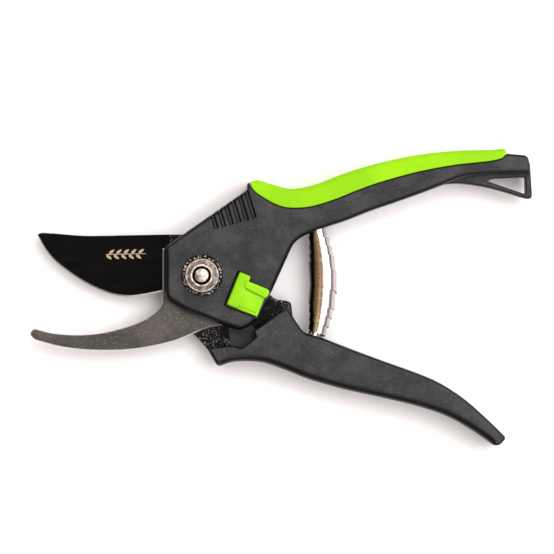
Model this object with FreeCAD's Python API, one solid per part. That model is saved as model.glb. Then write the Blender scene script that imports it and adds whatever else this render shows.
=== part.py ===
import FreeCAD, Part
import math
import os
from FreeCAD import Placement, Rotation, Vector

os.makedirs("parts", exist_ok=True)

# sizes, mm
toolLength = 209.4       # hook tip to hanging loop, handles fully open
planScale = toolLength / 209.4    # places outlines only, never a size of its own

# layers, counted up from the plane the tool lies on
backHeadThick = 5.0      # lower handle's flat head behind the blade
bladeThick = 3.0
bladeHookGap = 0.1
hookThick = 3.5
headWallThick = 5.4      # upper handle's wall in front of the hook

bladeBottom = backHeadThick
bladeTop = bladeBottom + bladeThick
hookBottom = bladeTop + bladeHookGap
hookTop = hookBottom + hookThick
frontFace = hookTop + headWallThick

# pivot
boltRadius = 4.0
runClearance = 0.05      # turning pieces on the bolt
boltHeadRadius = 7.0
boltHeadThick = 1.6
washerThick = 0.8
threadRadius = 3.0
nutFlangeRadius = 7.1
nutFlangeThick = 1.2
nutAcrossFlats = 10.0
nutHeight = 5.0
ringInner = 7.2
ringOuter = 8.5
ringThick = 1.5
ringTeeth = 30
ringRecess = 1.2         # depth of the round recess in the head wall

# room for the lower handle's head to swing
swingRadius = 28.0 * planScale
swingRay = 17.5          # degrees above the X axis

# catch, in its own frame: u along the slide, v across
catchOrigin = Vector(10.3, -12.0, 0) * planScale
catchAngle = -22.0
catchWidth = 12.3
catchBase = 11.2
catchReach = 13.7
catchBarWidth = 5.1
catchBarHeight = 14.6
catchTravel = 5.5
catchSideGap = 0.3
catchFloorGap = 0.2
catchCapThick = 1.8
catchFloor = 0.9         # head wall left below the catch
railWidth = 0.8
railThick = 1.2
tongueWidth = 6.1
tongueStart = 2.9

# thumb ribs
ribCount = 6
ribPitch = 3.44
ribSlotWidth = 1.5
ribSlotDepth = 1.2
ribStart = Vector(4.4, 25.2, 0) * planScale
ribLineAngle = 34.3
ribSlotTilt = -73.1
ribSlotLength = 7.4
ribSlotGain = 1.15

# handles
gripRound = 1.2
headRound = 1.0
loopBottom = 0.27        # share of the thickness
loopTop = 0.73
loopMember = 1.8         # width of the loop's bars round its hole

# spring
springX = 48.5 * planScale
springTop = 20.6 * planScale
springLow = -26.8 * planScale
springMidShift = 2.1 * planScale
coilEnd = 3.25
coilMiddle = 5.75
stripWidth = 8.8
stripThick = 0.3
coilTurns = 9.0
midPitchShare = 0.245    # share of the rise taken by the middle turn
pegRadius = 2.1
pegLength = 5.5
socketRadius = 4.0
springEndGap = 0.6


def plan(x, y, z=0.0):
    return Vector(x * planScale, y * planScale, z)


def curve(points):
    spline = Part.BSplineCurve()
    spline.interpolate([plan(x, y) for x, y in points])
    return spline.toShape()


def joined(*runs):
    # Closed face from runs of points: two points make a line, more a curve.
    edges = []
    for run in runs:
        if len(run) == 2:
            edges.append(Part.makeLine(plan(*run[0]), plan(*run[1])))
        else:
            edges.append(curve(run))
    return Part.Face(Part.Wire(edges))


def polygon(points):
    corners = [plan(x, y) for x, y in points]
    return Part.Face(Part.makePolygon(corners + corners[:1]))


def prism(face, bottom, top):
    solid = face.extrude(Vector(0, 0, top - bottom))
    solid.translate(Vector(0, 0, bottom))
    return solid


def disc(radius, bottom, top):
    return Part.makeCylinder(radius, top - bottom, Vector(0, 0, bottom))


def box(x0, x1, y0, y1, z0, z1):
    return Part.makeBox(x1 - x0, y1 - y0, z1 - z0, Vector(x0, y0, z0))


def isUpright(edge):
    return edge.BoundBox.XLength < 1e-4 and edge.BoundBox.YLength < 1e-4


def roundCorners(solid, corners):
    # Round upright edges: corners is a list of (x, y, radius).
    for x, y, radius in corners:
        spot = plan(x, y)
        near = [e for e in solid.Edges if isUpright(e)
                and math.hypot(e.Vertexes[0].X - spot.x, e.Vertexes[0].Y - spot.y) < 0.1]
        solid = solid.makeFillet(radius, near)
    return solid


def rimEdges(solid, height):
    return [e for e in solid.Edges
            if abs(e.BoundBox.ZMin - height) < 1e-4 and abs(e.BoundBox.ZMax - height) < 1e-4]


def roundRim(solid, height, radius):
    return solid.makeFillet(radius, rimEdges(solid, height))


def save(shape, name):
    solid = shape.removeSplitter()
    if len(solid.Solids) != 1 or not solid.isValid():
        raise ValueError(name + ": not one valid solid")
    solid = solid.Solids[0]
    solid.exportStep("parts/" + name + ".step")
    print(name, round(solid.Volume, 1))
    return solid


# outlines
def upperOutline():
    return joined(
        [(-15.8, -9.6), (-15.8, 11.7)],
        [(-15.8, 11.7), (18.8, 35.8)],
        [(18.8, 35.8), (18.8, 38.4)],
        [(18.8, 38.4), (20.4, 36.9)],
        [(20.4, 36.9), (24, 33.6), (30, 30.1), (36, 28.3), (45, 28.7), (55, 31.6),
         (65, 35.6), (75, 39.1), (90, 43.2), (105, 46), (120, 47.7), (125.4, 48.9)],
        [(125.4, 48.9), (127.4, 50.8)],
        [(127.4, 50.8), (136.2, 50.1)],
        [(136.2, 50.1), (137.2, 42.6)],
        [(137.2, 42.6), (128, 42.5), (118, 42.1), (109, 41), (100, 37.6), (90, 33.8),
         (80, 30.3), (70, 26.8), (60, 22.9), (50, 19.6), (44, 17.3), (38.5, 14.2)],
        [(38.5, 14.2), (28.6, -7.8)],
        [(28.6, -7.8), (26.5, -10.5)],
        [(26.5, -10.5), (22.6, -21.4)],
        [(22.6, -21.4), (16.6, -23.3)],
        [(16.6, -23.3), (8, -20.6), (0, -17.5), (-8, -14.2), (-15.8, -9.6)],
    )


def upperPlate():
    solid = prism(upperOutline(), 0, frontFace)
    return roundCorners(solid, [
        (-15.8, -9.6, 2.0), (-15.8, 11.7, 1.0), (137.2, 42.6, 1.0), (136.2, 50.1, 1.5),
        (38.5, 14.2, 3.0), (28.6, -7.8, 3.0), (22.6, -21.4, 3.0), (16.6, -23.3, 3.0),
    ])


def lowerOutline():
    return joined(
        [(35.4, -13.5), (21.6, -23.2)],
        [(21.6, -23.2), (22.9, -25.7)],
        [(22.9, -25.7), (16.7, -30.8)],
        [(16.7, -30.8), (12.8, -29.2)],
        [(12.8, -29.2), (2, -30.5)],
        [(2, -30.5), (6.6, -38.2)],
        [(6.6, -38.2), (14, -36.1), (25, -36.4), (35, -39.7), (45, -43.6), (60, -47.8),
         (75, -51.1), (90, -54.7), (102, -58.8), (112, -64.3), (121.6, -70.9)],
        [(121.6, -70.9), (124.4, -71), (127, -68)],
        [(127, -68), (120, -60.9), (110, -52), (100, -45.4), (90, -41), (75, -35.6),
         (60, -30), (50, -26.1), (42.3, -24)],
        [(42.3, -24), (35.4, -13.5)],
    )


def backOutline():
    return polygon([(-12.5, -11), (-1, -24.4), (2.4, -30.8), (7.5, -36), (30, -34),
                    (41.5, -22), (37.6, -11.2), (27.6, -10), (12, 11.4), (0, 16.4), (-12, 11.4)])


def bladeOutline():
    return joined(
        [(-69.4, 17), (-67.6, 18), (-60, 17.4), (-48, 16.6), (-30, 16.9), (-7.5, 17.3)],
        [(-7.5, 17.3), (0, 18.8), (10, 17), (19, 11), (24.6, 2), (26, -6.6)],
        [(26, -6.6), (29, -8.6)],
        [(29, -8.6), (31, -10), (35.6, -10.7)],
        [(35.6, -10.7), (40.5, -24)],
        [(40.5, -24), (43, -32)],
        [(43, -32), (66, -38.6)],
        [(66, -38.6), (64, -44.6)],
        [(64, -44.6), (22, -32.5)],
        [(22, -32.5), (9, -33.6)],
        [(9, -33.6), (2.6, -31.6)],
        [(2.6, -31.6), (-3, -25.4)],
        [(-3, -25.4), (-12, -18.5), (-16.6, -10.5), (-17.5, -6.9)],
        edgeRun(),
    )


def edgeRun():
    return [(-17.5, -6.9), (-25, -8.3), (-32, -8.9), (-40, -7.3), (-50.4, -2.4),
            (-60.5, 4.8), (-65.6, 10.4), (-69.4, 17)]


def hookOutline():
    return joined(
        [(-16.7, 11.2), (-16.7, -7.5)],
        [(-16.7, -7.5), (-17.6, -13.3), (-25, -19), (-38, -23.3), (-50, -24.9),
         (-62, -24.3), (-70.6, -22.2)],
        [(-70.6, -22.2), (-72.3, -24.4), (-70.3, -27.1)],
        [(-70.3, -27.1), (-58, -30.2), (-44, -31.5), (-28, -30.9), (-12, -27.6), (2, -22.2),
         (14, -20.4)],
        [(14, -20.4), (21.5, -15)],
        [(21.5, -15), (27, -6.5)],
        [(27, -6.5), (35.4, 12.8)],
        [(35.4, 12.8), (42, 22.4)],
        [(42, 22.4), (54, 25.4)],
        [(54, 25.4), (74, 31.4)],
        [(74, 31.4), (72.4, 35.2)],
        [(72.4, 35.2), (44, 26.8)],
        [(44, 26.8), (20, 28)],
        [(20, 28), (-16.7, 11.2)],
    )


def gripOutline():
    return joined(
        [(20.4, 36.9), (18.8, 38.4)],
        [(18.8, 38.4), (24, 39.7), (30, 37.8), (38, 36.1), (48, 38.2), (60, 42.8),
         (75, 47.2), (90, 50.3), (105, 52), (118, 52.5), (126.6, 53)],
        [(126.6, 53), (127.4, 50.8)],
        [(127.4, 50.8), (125.4, 48.9)],
        [(125.4, 48.9), (120, 47.7), (105, 46), (90, 43.2), (75, 39.1), (65, 35.6),
         (55, 31.6), (45, 28.7), (36, 28.3), (30, 30.1), (24, 33.6), (20.4, 36.9)],
    )


# sub-parts
def swingRoom():
    # Space behind the head wall that the lower handle's head turns in.
    reach = 60 * planScale
    angle = math.radians(swingRay)
    ray = Vector(math.cos(angle), math.sin(angle), 0) * reach
    wedge = Part.Face(Part.makePolygon([
        Vector(0, 0, 0), ray, Vector(ray.x, -reach, 0), Vector(-reach, -reach, 0), Vector(0, 0, 0)]))
    return disc(swingRadius, -1, hookTop).fuse(prism(wedge, -1, hookTop))


def ribSlots():
    slots = []
    line = math.radians(ribLineAngle)
    for index in range(ribCount):
        length = ribSlotLength + index * ribSlotGain
        slot = Part.makeBox(length, ribSlotWidth, ribSlotDepth + 1,
                            Vector(-1.5, -ribSlotWidth / 2, 0))
        offset = Vector(math.cos(line), math.sin(line), 0) * (index * ribPitch)
        slot.Placement = Placement(
            ribStart + offset + Vector(0, 0, frontFace - ribSlotDepth),
            Rotation(Vector(0, 0, 1), ribSlotTilt))
        slots.append(slot)
    return slots


def hangingLoop():
    outer = joined(
        [(100, 40), (101, 38.2)],
        [(101, 38.2), (110, 38.3), (118, 37.2), (127, 35), (134.4, 32.6)],
        [(134.4, 32.6), (137, 33), (138.1, 36)],
        [(138.1, 36), (137.2, 47.4)],
        [(137.2, 47.4), (132, 47.4)],
        [(132, 47.4), (100, 40)],
    )
    middle = polygon([(116.6, 39.2), (136.7, 32.8), (136.0, 42.2), (121.0, 41.5)])
    hole = middle.makeOffset2D(-loopMember / 2, 2)
    low = frontFace * loopBottom
    high = frontFace * loopTop
    solid = prism(outer, low, high)
    return solid, prism(hole, low - 1, high + 1)


def inCatchFrame(shape):
    frame = Placement(catchOrigin, Rotation(Vector(0, 0, 1), catchAngle))
    shape.Placement = frame.multiply(shape.Placement)
    return shape


def catchPocket():
    floor = hookTop + catchFloor
    far = catchReach + 12 * planScale
    low = 0.4 - catchSideGap
    high = catchWidth - 0.4 + catchSideGap
    well = box(0.2 - catchSideGap, far, low, high, floor, frontFace + 1)
    railFloor = floor + 0.8
    rails = box(0.2 - catchSideGap, far, low - railWidth, high + railWidth,
                railFloor, railFloor + railThick + 2 * catchFloorGap)
    leaf = box(2, 10, 3.6, 8.6, floor - 0.55, floor + 1)
    return inCatchFrame(well.fuse([rails, leaf]))


def springPlug(end, radius, length, deeper=0.0):
    # Cylinder on the spring's own axis at one end, from behind the strip inwards.
    travel = (springTop - springLow - stripWidth) / 2
    middle = Vector(springX, (springTop + springLow) / 2 + end * travel, frontFace / 2)
    outward = Vector(-2 * springMidShift, end * travel, 0).normalize()
    start = middle + outward * (stripWidth / 2 + springEndGap + deeper)
    return Part.makeCylinder(radius, length + deeper, start, outward * -1)


def upperHandle(hook, grip):
    solid = upperPlate().cut(swingRoom())
    solid = roundRim(solid, frontFace, headRound)
    low = [e for e in rimEdges(solid, 0)
           if e.BoundBox.YMin > swingRadius * 0.2 and not isArcOf(e, swingRadius)]
    solid = solid.makeFillet(headRound, low)
    loop, hole = hangingLoop()
    solid = solid.fuse(loop).cut(hole)
    solid = solid.cut([hook, grip, catchPocket(), springPlug(1, socketRadius, 9)] + ribSlots())
    recess = disc(ringOuter + 0.2, frontFace - ringRecess, frontFace + 1)
    bore = disc(boltRadius, hookTop - 1, frontFace + 1)
    return solid.cut([recess, bore]).fuse(springPlug(1, pegRadius, pegLength, 0.6))


def isArcOf(edge, radius):
    return hasattr(edge.Curve, "Radius") and abs(edge.Curve.Radius - radius) < 1e-3


def upperGrip():
    return prism(gripOutline(), 0, frontFace)


def lowerHandle(blade):
    solid = prism(lowerOutline(), 0, frontFace)
    solid = roundCorners(solid, [
        (35.4, -13.5, 1.4), (21.6, -23.2, 0.8), (22.9, -25.7, 0.6), (16.7, -30.8, 1.2),
        (12.8, -29.2, 2.0), (2, -30.5, 0.8), (6.6, -38.2, 1.5), (42.3, -24, 2.0),
        (121.6, -70.9, 2.5), (127, -68, 1.2)])
    solid = roundRim(solid, frontFace, gripRound)
    solid = roundRim(solid, 0, gripRound)
    back = prism(backOutline(), 0, backHeadThick)
    back = roundCorners(back, [(-12.5, -11, 5), (2.4, -30.8, 3), (37.6, -11.2, 2),
                               (27.6, -10, 2), (12, 11.4, 7), (0, 16.4, 12), (-12, 11.4, 7)])
    web = prism(lowerOutline(), 0, backHeadThick).common(back)
    solid = solid.fuse([back, web])
    bore = disc(boltRadius + runClearance, -1, backHeadThick + 1)
    seat = disc(boltHeadRadius + 0.3, -1, boltHeadThick + washerThick + 0.2)
    solid = solid.cut([blade, bore, seat, springPlug(-1, socketRadius, 9)])
    return solid.fuse(springPlug(-1, pegRadius, pegLength, 0.6))


def blade():
    solid = prism(bladeOutline(), bladeBottom, bladeTop)
    solid = solid.cut(bladeBevel())
    return solid.cut(disc(boltRadius + runClearance, bladeBottom - 1, bladeTop + 1))


def bladeBevel():
    # Wedge ground off the blade's rear, all along the cutting edge.
    land = 0.25
    outer = edgeRun()
    inner = [(-19, 1), (-25.5, 0.6), (-31, 0.4), (-37.5, 1.8), (-45.5, 5.4), (-53.5, 10),
             (-58.5, 14), (-61.5, 20)]
    beyond = [(x - 2.5, y - 3.5) for x, y in outer]
    top = curve(outer)
    top.translate(Vector(0, 0, bladeTop - land))
    rear = curve(inner)
    rear.translate(Vector(0, 0, bladeBottom - 0.01))
    side = curve(beyond)
    side.translate(Vector(0, 0, bladeBottom - 0.01))
    rim = curve(beyond)
    rim.translate(Vector(0, 0, bladeTop - land))
    return ruledBar([top, rear, side, rim])


def ruledBar(edges):
    # Solid between matching curves, ruled side to side, flat at its ends.
    faces = [Part.makeRuledSurface(a, b) for a, b in zip(edges, edges[1:] + edges[:1])]
    for last in (0, -1):
        corners = [e.Vertexes[last].Point for e in edges]
        half = len(corners) // 2
        for tri in (corners[:3], [corners[half], corners[-1], corners[0]]):
            faces.append(Part.Face(Part.makePolygon(tri + tri[:1])))
    return sewn(faces)


def hook():
    solid = prism(hookOutline(), hookBottom, hookTop)
    solid = roundCorners(solid, [(14, -20.4, 4), (21.5, -15, 4), (72.4, 35.2, 1)])
    return solid.cut(disc(boltRadius, hookBottom - 1, hookTop + 1))


def pivotBolt():
    nutTop = frontFace - ringRecess + nutFlangeThick + nutHeight
    head = disc(boltHeadRadius, 0, boltHeadThick)
    head = head.makeChamfer(0.3, rimEdges(head, 0))
    shank = disc(boltRadius, boltHeadThick, frontFace - ringRecess)
    end = disc(threadRadius, frontFace - ringRecess, nutTop + 0.9)
    end = end.makeChamfer(0.6, rimEdges(end, nutTop + 0.9))
    return head.fuse([shank, end])


def backWasher():
    low = boltHeadThick
    washer = disc(boltHeadRadius, low, low + washerThick)
    return washer.cut(disc(boltRadius, low - 1, low + washerThick + 1))


def pivotNut():
    low = frontFace - ringRecess
    flange = disc(nutFlangeRadius, low, low + nutFlangeThick)
    flange = flange.makeChamfer(0.4, rimEdges(flange, low + nutFlangeThick))
    reach = nutAcrossFlats / 2 / math.cos(math.pi / 6)
    corners = [Vector(reach * math.cos(i * math.pi / 3 + 0.35),
                      reach * math.sin(i * math.pi / 3 + 0.35), 0) for i in range(7)]
    hexagon = prism(Part.Face(Part.makePolygon(corners)), low, low + nutFlangeThick + nutHeight)
    crown = Part.makeCone(reach + 4.4, reach - 0.55, nutFlangeThick + nutHeight, Vector(0, 0, low))
    nut = flange.fuse(hexagon.common(crown))
    nut = nut.cut(disc(threadRadius, low - 1, low + 20))
    lip = Part.makeCone(threadRadius, threadRadius + 0.8, 0.8,
                        Vector(0, 0, low + nutFlangeThick + nutHeight - 0.8))
    return nut.cut(lip)


def lockRing():
    low = frontFace - ringRecess
    ring = disc(ringOuter, low, low + ringThick).cut(disc(ringInner, low - 1, low + 9))
    gaps = []
    for index in range(ringTeeth):
        gap = box(ringInner + 0.55, ringOuter + 1, -0.4, 0.4, low + 0.7, low + ringThick + 1)
        gap.rotate(Vector(0, 0, 0), Vector(0, 0, 1), index * 360 / ringTeeth)
        gaps.append(gap)
    return ring.cut(gaps)


def catchSlider():
    floor = hookTop + catchFloor + catchFloorGap
    railFloor = hookTop + catchFloor + 0.8 + catchFloorGap
    capLow = frontFace + 0.3
    capHigh = capLow + catchCapThick
    body = box(0.2, catchBase, 0.4, catchWidth - 0.4, floor, capLow)
    tongue = box(catchBase - 1, catchReach, tongueStart, tongueStart + tongueWidth, floor, capLow)
    rails = box(0.2, catchBase - 1.5, 0.4 - railWidth, catchWidth - 0.4 + railWidth,
                railFloor, railFloor + railThick)
    cap = box(0, catchReach, 0, catchWidth, capLow, capHigh)
    bar = box(0, catchBarWidth, 0, catchBarHeight, capLow, capHigh + 0.5)
    ridge = box(catchReach - 5.5, catchReach + 1.1, catchWidth - 4, catchWidth, capLow, capHigh + 0.9)
    solid = body.fuse([tongue, rails, cap, bar, ridge])
    return inCatchFrame(solid)


def catchSpring():
    # Bowed leaf under the catch that holds it at either end of its travel.
    low = hookTop + catchFloor - 0.5
    rise = 0.35
    inner = Part.Arc(Vector(2.3, 0, low), Vector(6, 0, low + rise), Vector(9.7, 0, low)).toShape()
    outer = Part.Arc(Vector(9.7, 0, low + 0.25), Vector(6, 0, low + rise + 0.25),
                     Vector(2.3, 0, low + 0.25)).toShape()
    face = Part.Face(Part.Wire([
        inner, Part.makeLine(Vector(9.7, 0, low), Vector(9.7, 0, low + 0.25)),
        outer, Part.makeLine(Vector(2.3, 0, low + 0.25), Vector(2.3, 0, low))]))
    leaf = face.extrude(Vector(0, 4, 0))
    leaf.translate(Vector(0, 4.1, 0))
    return inCatchFrame(leaf)


def springPoint(turn, radial, across):
    # Point on the strip: turn -1..1 end to end, radial and across in mm.
    share = abs(turn)
    travel = (springTop - springLow - stripWidth) / 2
    middle = 1 / coilTurns
    if share < middle:
        rise = share / middle * midPitchShare
    else:
        rise = midPitchShare + (share - middle) / (1 - middle) * (1 - midPitchShare)
    rise = math.copysign(rise, turn)
    centre = Vector(springX + springMidShift * (1 - rise ** 2),
                    (springTop + springLow) / 2 + rise * travel, frontFace / 2)
    along = Vector(-2 * springMidShift * rise, travel, 0).normalize()
    sideways = along.cross(Vector(0, 0, 1))
    radius = coilMiddle + (coilEnd - coilMiddle) * share ** 1.15 + radial
    angle = turn * coilTurns * math.pi
    return (centre + sideways * (radius * math.cos(angle))
            + Vector(0, 0, radius * math.sin(angle)) + along * across)


def mainSpring():
    # Rolled strip, its four long edges drawn turn by turn.
    turns = int(coilTurns)
    steps = turns * 16
    shares = [2 * i / steps - 1 for i in range(steps + 1)]
    half = stripThick / 2
    splines = []
    for radial, across in ((-half, -stripWidth / 2), (half, -stripWidth / 2),
                           (half, stripWidth / 2), (-half, stripWidth / 2)):
        spline = Part.BSplineCurve()
        spline.interpolate(Points=[springPoint(t, radial, across) for t in shares],
                           Parameters=shares)
        splines.append(spline)
    faces = []
    for index in range(turns):
        edges = []
        for spline in splines:
            piece = spline.copy()
            piece.segment(2 * index / turns - 1, 2 * (index + 1) / turns - 1)
            edges.append(piece.toShape())
        faces += [Part.makeRuledSurface(a, b) for a, b in zip(edges, edges[1:] + edges[:1])]
    for end in (-1, 1):
        corners = [spline.value(end) for spline in splines]
        faces.append(Part.Face(Part.makePolygon(corners + corners[:1])))
    return sewn(faces)


def sewn(faces):
    shell = Part.makeShell(faces)
    shell.sewShape()
    solid = Part.makeSolid(shell)
    if solid.Volume < 0:
        solid.reverse()
    return solid


# build
bladeSolid = save(blade(), "blade")
hookSolid = save(hook(), "hook")
gripSolid = save(upperGrip(), "upper_grip")
save(upperHandle(hookSolid, gripSolid), "upper_handle")
save(lowerHandle(bladeSolid), "lower_handle")
save(pivotBolt(), "pivot_bolt")
save(backWasher(), "back_washer")
save(pivotNut(), "pivot_nut")
save(lockRing(), "lock_ring")
save(catchSlider(), "catch_slider")
save(catchSpring(), "catch_spring")
save(mainSpring(), "main_spring")
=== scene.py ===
import math
import bmesh
import bpy
import numpy as np
from mathutils import Matrix, Vector
from mathutils.geometry import delaunay_2d_cdt


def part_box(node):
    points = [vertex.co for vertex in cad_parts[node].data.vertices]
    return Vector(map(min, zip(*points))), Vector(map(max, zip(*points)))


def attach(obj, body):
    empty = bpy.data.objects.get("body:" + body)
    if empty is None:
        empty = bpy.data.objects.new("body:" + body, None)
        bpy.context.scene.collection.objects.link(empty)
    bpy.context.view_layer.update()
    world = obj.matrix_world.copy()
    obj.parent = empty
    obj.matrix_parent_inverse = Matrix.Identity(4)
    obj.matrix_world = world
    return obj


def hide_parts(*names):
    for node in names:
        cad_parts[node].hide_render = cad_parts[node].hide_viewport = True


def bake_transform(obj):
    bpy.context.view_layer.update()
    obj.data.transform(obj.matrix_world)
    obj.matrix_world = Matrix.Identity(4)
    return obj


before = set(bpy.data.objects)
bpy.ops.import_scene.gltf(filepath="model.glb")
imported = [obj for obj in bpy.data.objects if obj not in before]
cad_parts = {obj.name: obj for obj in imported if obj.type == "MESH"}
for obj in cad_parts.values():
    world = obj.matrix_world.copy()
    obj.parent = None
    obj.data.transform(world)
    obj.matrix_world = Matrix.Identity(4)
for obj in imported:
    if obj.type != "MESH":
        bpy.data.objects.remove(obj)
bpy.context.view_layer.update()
mm = 0.001
turningBore = 4.05    # hole for the bolt in the steel and the back head
ringRecess = 1.2      # depth that the nut and its ring are sunk in the head
print("frame loaded")

# heights shared by every piece, read from the fixed frame, in millimetres
layers = {
    "bladeLow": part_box("blade")[0][2] / mm,
    "bladeHigh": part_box("blade")[1][2] / mm,
    "hookLow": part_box("hook")[0][2] / mm,
    "hookHigh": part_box("hook")[1][2] / mm,
    "front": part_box("upper_handle")[1][2] / mm,
}


# shader sockets that add and multiply like numbers
class Wire:
    def __init__(self, kit, socket):
        self.kit = kit
        self.socket = socket

    def math(self, kind, *others):
        return self.kit.node("ShaderNodeMath", {"operation": kind},
                             {0: self, **dict(enumerate(others, 1))})

    def __add__(self, other):
        return self.math("ADD", other)

    def __radd__(self, other):
        return self.math("ADD", other)

    def __mul__(self, other):
        return self.math("MULTIPLY", other)

    def __rmul__(self, other):
        return self.math("MULTIPLY", other)

    def ramp(self, low, high, toLow=0.0, toHigh=1.0):
        return self.kit.node("ShaderNodeMapRange", {"interpolation_type": "SMOOTHSTEP"},
                             {"Value": self, "From Min": low, "From Max": high,
                              "To Min": toLow, "To Max": toHigh})


class Finish:
    def __init__(self, name, **uniform):
        self.material = bpy.data.materials.new(name)
        self.material.use_nodes = True
        self.tree = self.material.node_tree
        self.shader = self.tree.nodes["Principled BSDF"]
        for socket, value in uniform.items():
            self.shader.inputs[socket.replace("_", " ")].default_value = value

    def node(self, kind, settings=None, inputs=None, output=0):
        made = self.tree.nodes.new(kind)
        for key, value in (settings or {}).items():
            setattr(made, key, value)
        for key, value in (inputs or {}).items():
            if isinstance(value, Wire):
                self.tree.links.new(value.socket, made.inputs[key])
            else:
                made.inputs[key].default_value = value
        return Wire(self, made.outputs[output])

    def place(self, scale=(1, 1, 1), turn=(0, 0, 0), shift=(0, 0, 0)):
        where = self.node("ShaderNodeTexCoord", output="Object")
        return self.node("ShaderNodeMapping", None,
                         {"Vector": where, "Scale": scale, "Rotation": turn, "Location": shift})

    def noise(self, perMetre, detail=3.0, rough=0.5, at=None):
        return self.node("ShaderNodeTexNoise", None,
                         {"Vector": at or self.place(), "Scale": perMetre, "Detail": detail,
                          "Roughness": rough})

    def mix(self, share, first, second):
        return self.node("ShaderNodeMix", {"data_type": "RGBA"},
                         {0: share, 6: first, 7: second}, output=2)

    def bump(self, height, depth, strength=1.0):
        return self.node("ShaderNodeBump", None,
                         {"Height": height, "Distance": depth, "Strength": strength})

    def feed(self, **wires):
        for socket, wire in wires.items():
            self.tree.links.new(wire.socket, self.shader.inputs[socket.replace("_", " ")])
        return self.material


def rgb(red, green, blue):
    return (red, green, blue, 1.0)


# edge is a painted shade colour for the rounds and walls
nylon = {"dark": rgb(0.011, 0.011, 0.012), "light": rgb(0.047, 0.047, 0.049),
         "edge": rgb(0.0018, 0.0018, 0.002),
         "speck": rgb(0.20, 0.20, 0.205), "grain": 2200, "cloud": 75, "depth": 0.0003}


# how flat a face lies: 1 on the broad faces, 0 on rounds and walls
def flatness(kit, low=0.94, high=0.9995):
    facing = kit.node("ShaderNodeNewGeometry", output="Normal")
    upward = kit.node("ShaderNodeSeparateXYZ", None, {0: facing}, output=2)
    return upward.math("ABSOLUTE").ramp(low, high)


# sand-textured flats run out into smoother edges, which are painted near black as painted shade
def blackNylon():
    kit = Finish("blackNylon", IOR=1.33)
    grain = kit.noise(nylon["grain"], 2, 0.6)
    cloud = kit.noise(nylon["cloud"], 5, 0.72)
    dust = kit.noise(3600, 1, 0.5).ramp(0.63, 0.74) * kit.noise(55, 3, 0.5).ramp(0.44, 0.62, 0.25,
                                                                                 1)
    flat = flatness(kit)
    tone = kit.mix(cloud.ramp(0.36, 0.64) * 0.65 + grain.ramp(0.3, 0.7) * 0.35, nylon["dark"],
                   nylon["light"])
    tone = kit.mix(dust * 0.8, tone, nylon["speck"])
    # painted shade: rounds and walls go to the near-black edge colour
    tone = kit.mix(flat, nylon["edge"], tone)
    return kit.feed(Base_Color=tone, Roughness=flat.ramp(0, 1, 0.24, 0.52) + grain * 0.14,
                    Normal=kit.bump(grain * flat, nylon["depth"], 1.0))


lime = {"soft": rgb(0.215, 0.51, 0.0), "bright": rgb(0.27, 0.59, 0.0), "grain": 3000}


def limeSkin():
    kit = Finish("limeSkin", IOR=1.25)
    grain = kit.noise(lime["grain"], 2, 0.5)
    cloud = kit.noise(45, 3, 0.5)
    tone = kit.mix(cloud.ramp(0.3, 0.7), lime["soft"], lime["bright"])
    return kit.feed(Base_Color=tone, Roughness=grain.ramp(0.2, 0.8, 0.5, 0.68),
                    Normal=kit.bump(grain, 0.00006, 0.4))


def limeMoulding():
    kit = Finish("limeMoulding", IOR=1.3)
    grain = kit.noise(1800, 2, 0.5)
    flow = kit.noise(90, 3, 0.6)
    tone = kit.mix(flow.ramp(0.3, 0.7), rgb(0.21, 0.51, 0.0), rgb(0.27, 0.61, 0.0))
    return kit.feed(Base_Color=tone, Roughness=grain.ramp(0.2, 0.8, 0.3, 0.45),
                    Normal=kit.bump(grain, 0.00004, 0.3))


def coatedBlack():
    kit = Finish("coatedBlack", IOR=1.2, Coat_Roughness=0.06)
    fine = kit.noise(900, 3, 0.5)
    streak = kit.noise(40, 3, 0.5, kit.place((1, 8, 1), (0, 0, 0.15)))
    tone = kit.mix(streak, rgb(0.0012, 0.0012, 0.0015), rgb(0.003, 0.003, 0.0036))
    return kit.feed(Base_Color=tone, Roughness=streak.ramp(0.3, 0.7, 0.1, 0.17),
                    Coat_Weight=streak.ramp(0.2, 0.8, 0.02, 0.1),
                    Normal=kit.bump(fine, 0.00001, 0.15))


def crinkledBlack():
    kit = Finish("crinkledBlack", IOR=1.22)
    blot = kit.noise(700, 4, 0.65)
    # painted glints: sparse bright flecks on the black
    paintedGlintFleck = kit.noise(1700, 3, 0.75).ramp(0.57, 0.64) * kit.noise(130, 2, 0.5).ramp(0.42, 0.58)
    tone = kit.mix(paintedGlintFleck, rgb(0.001, 0.001, 0.0012), rgb(0.36, 0.35, 0.34))
    return kit.feed(Base_Color=tone, Roughness=blot.ramp(0.3, 0.7, 0.16, 0.3),
                    Normal=kit.bump(blot, 0.00015, 0.7))


def sandedSteel():
    kit = Finish("sandedSteel")
    sand = kit.noise(2400, 3, 0.65)
    patch = kit.noise(70, 4, 0.6)
    tone = kit.mix(patch.ramp(0.25, 0.75), rgb(0.052, 0.046, 0.04), rgb(0.105, 0.095, 0.084))
    tone = kit.mix(sand.ramp(0.42, 0.72) * 0.7, tone, rgb(0.028, 0.025, 0.022))
    tone = kit.mix(kit.noise(1700, 2, 0.5).ramp(0.6, 0.75) * 0.6, tone, rgb(0.34, 0.315, 0.285))
    # rounds and walls painted light: partly a polished edge, partly a painted highlight
    flat = flatness(kit, 0.8, 0.97)
    tone = kit.mix(flat, rgb(0.74, 0.72, 0.69), tone)
    return kit.feed(Base_Color=tone, Metallic=patch.ramp(0.0, 1.0, 0.82, 0.95),
                    Roughness=flat.ramp(0, 1, 0.16, 0.42) + sand * 0.16,
                    Normal=kit.bump(sand * flat, 0.0001, 0.8))


def groundSteel():
    kit = Finish("groundSteel", Metallic=1.0)
    lines = kit.noise(260, 3, 0.6, kit.place((1, 14, 6), (0, 0, 1.0)))
    tone = kit.mix(lines, rgb(0.36, 0.35, 0.34), rgb(0.62, 0.61, 0.59))
    return kit.feed(Base_Color=tone, Roughness=lines.ramp(0.2, 0.8, 0.22, 0.42),
                    Normal=kit.bump(lines, 0.00002, 0.4))


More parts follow.
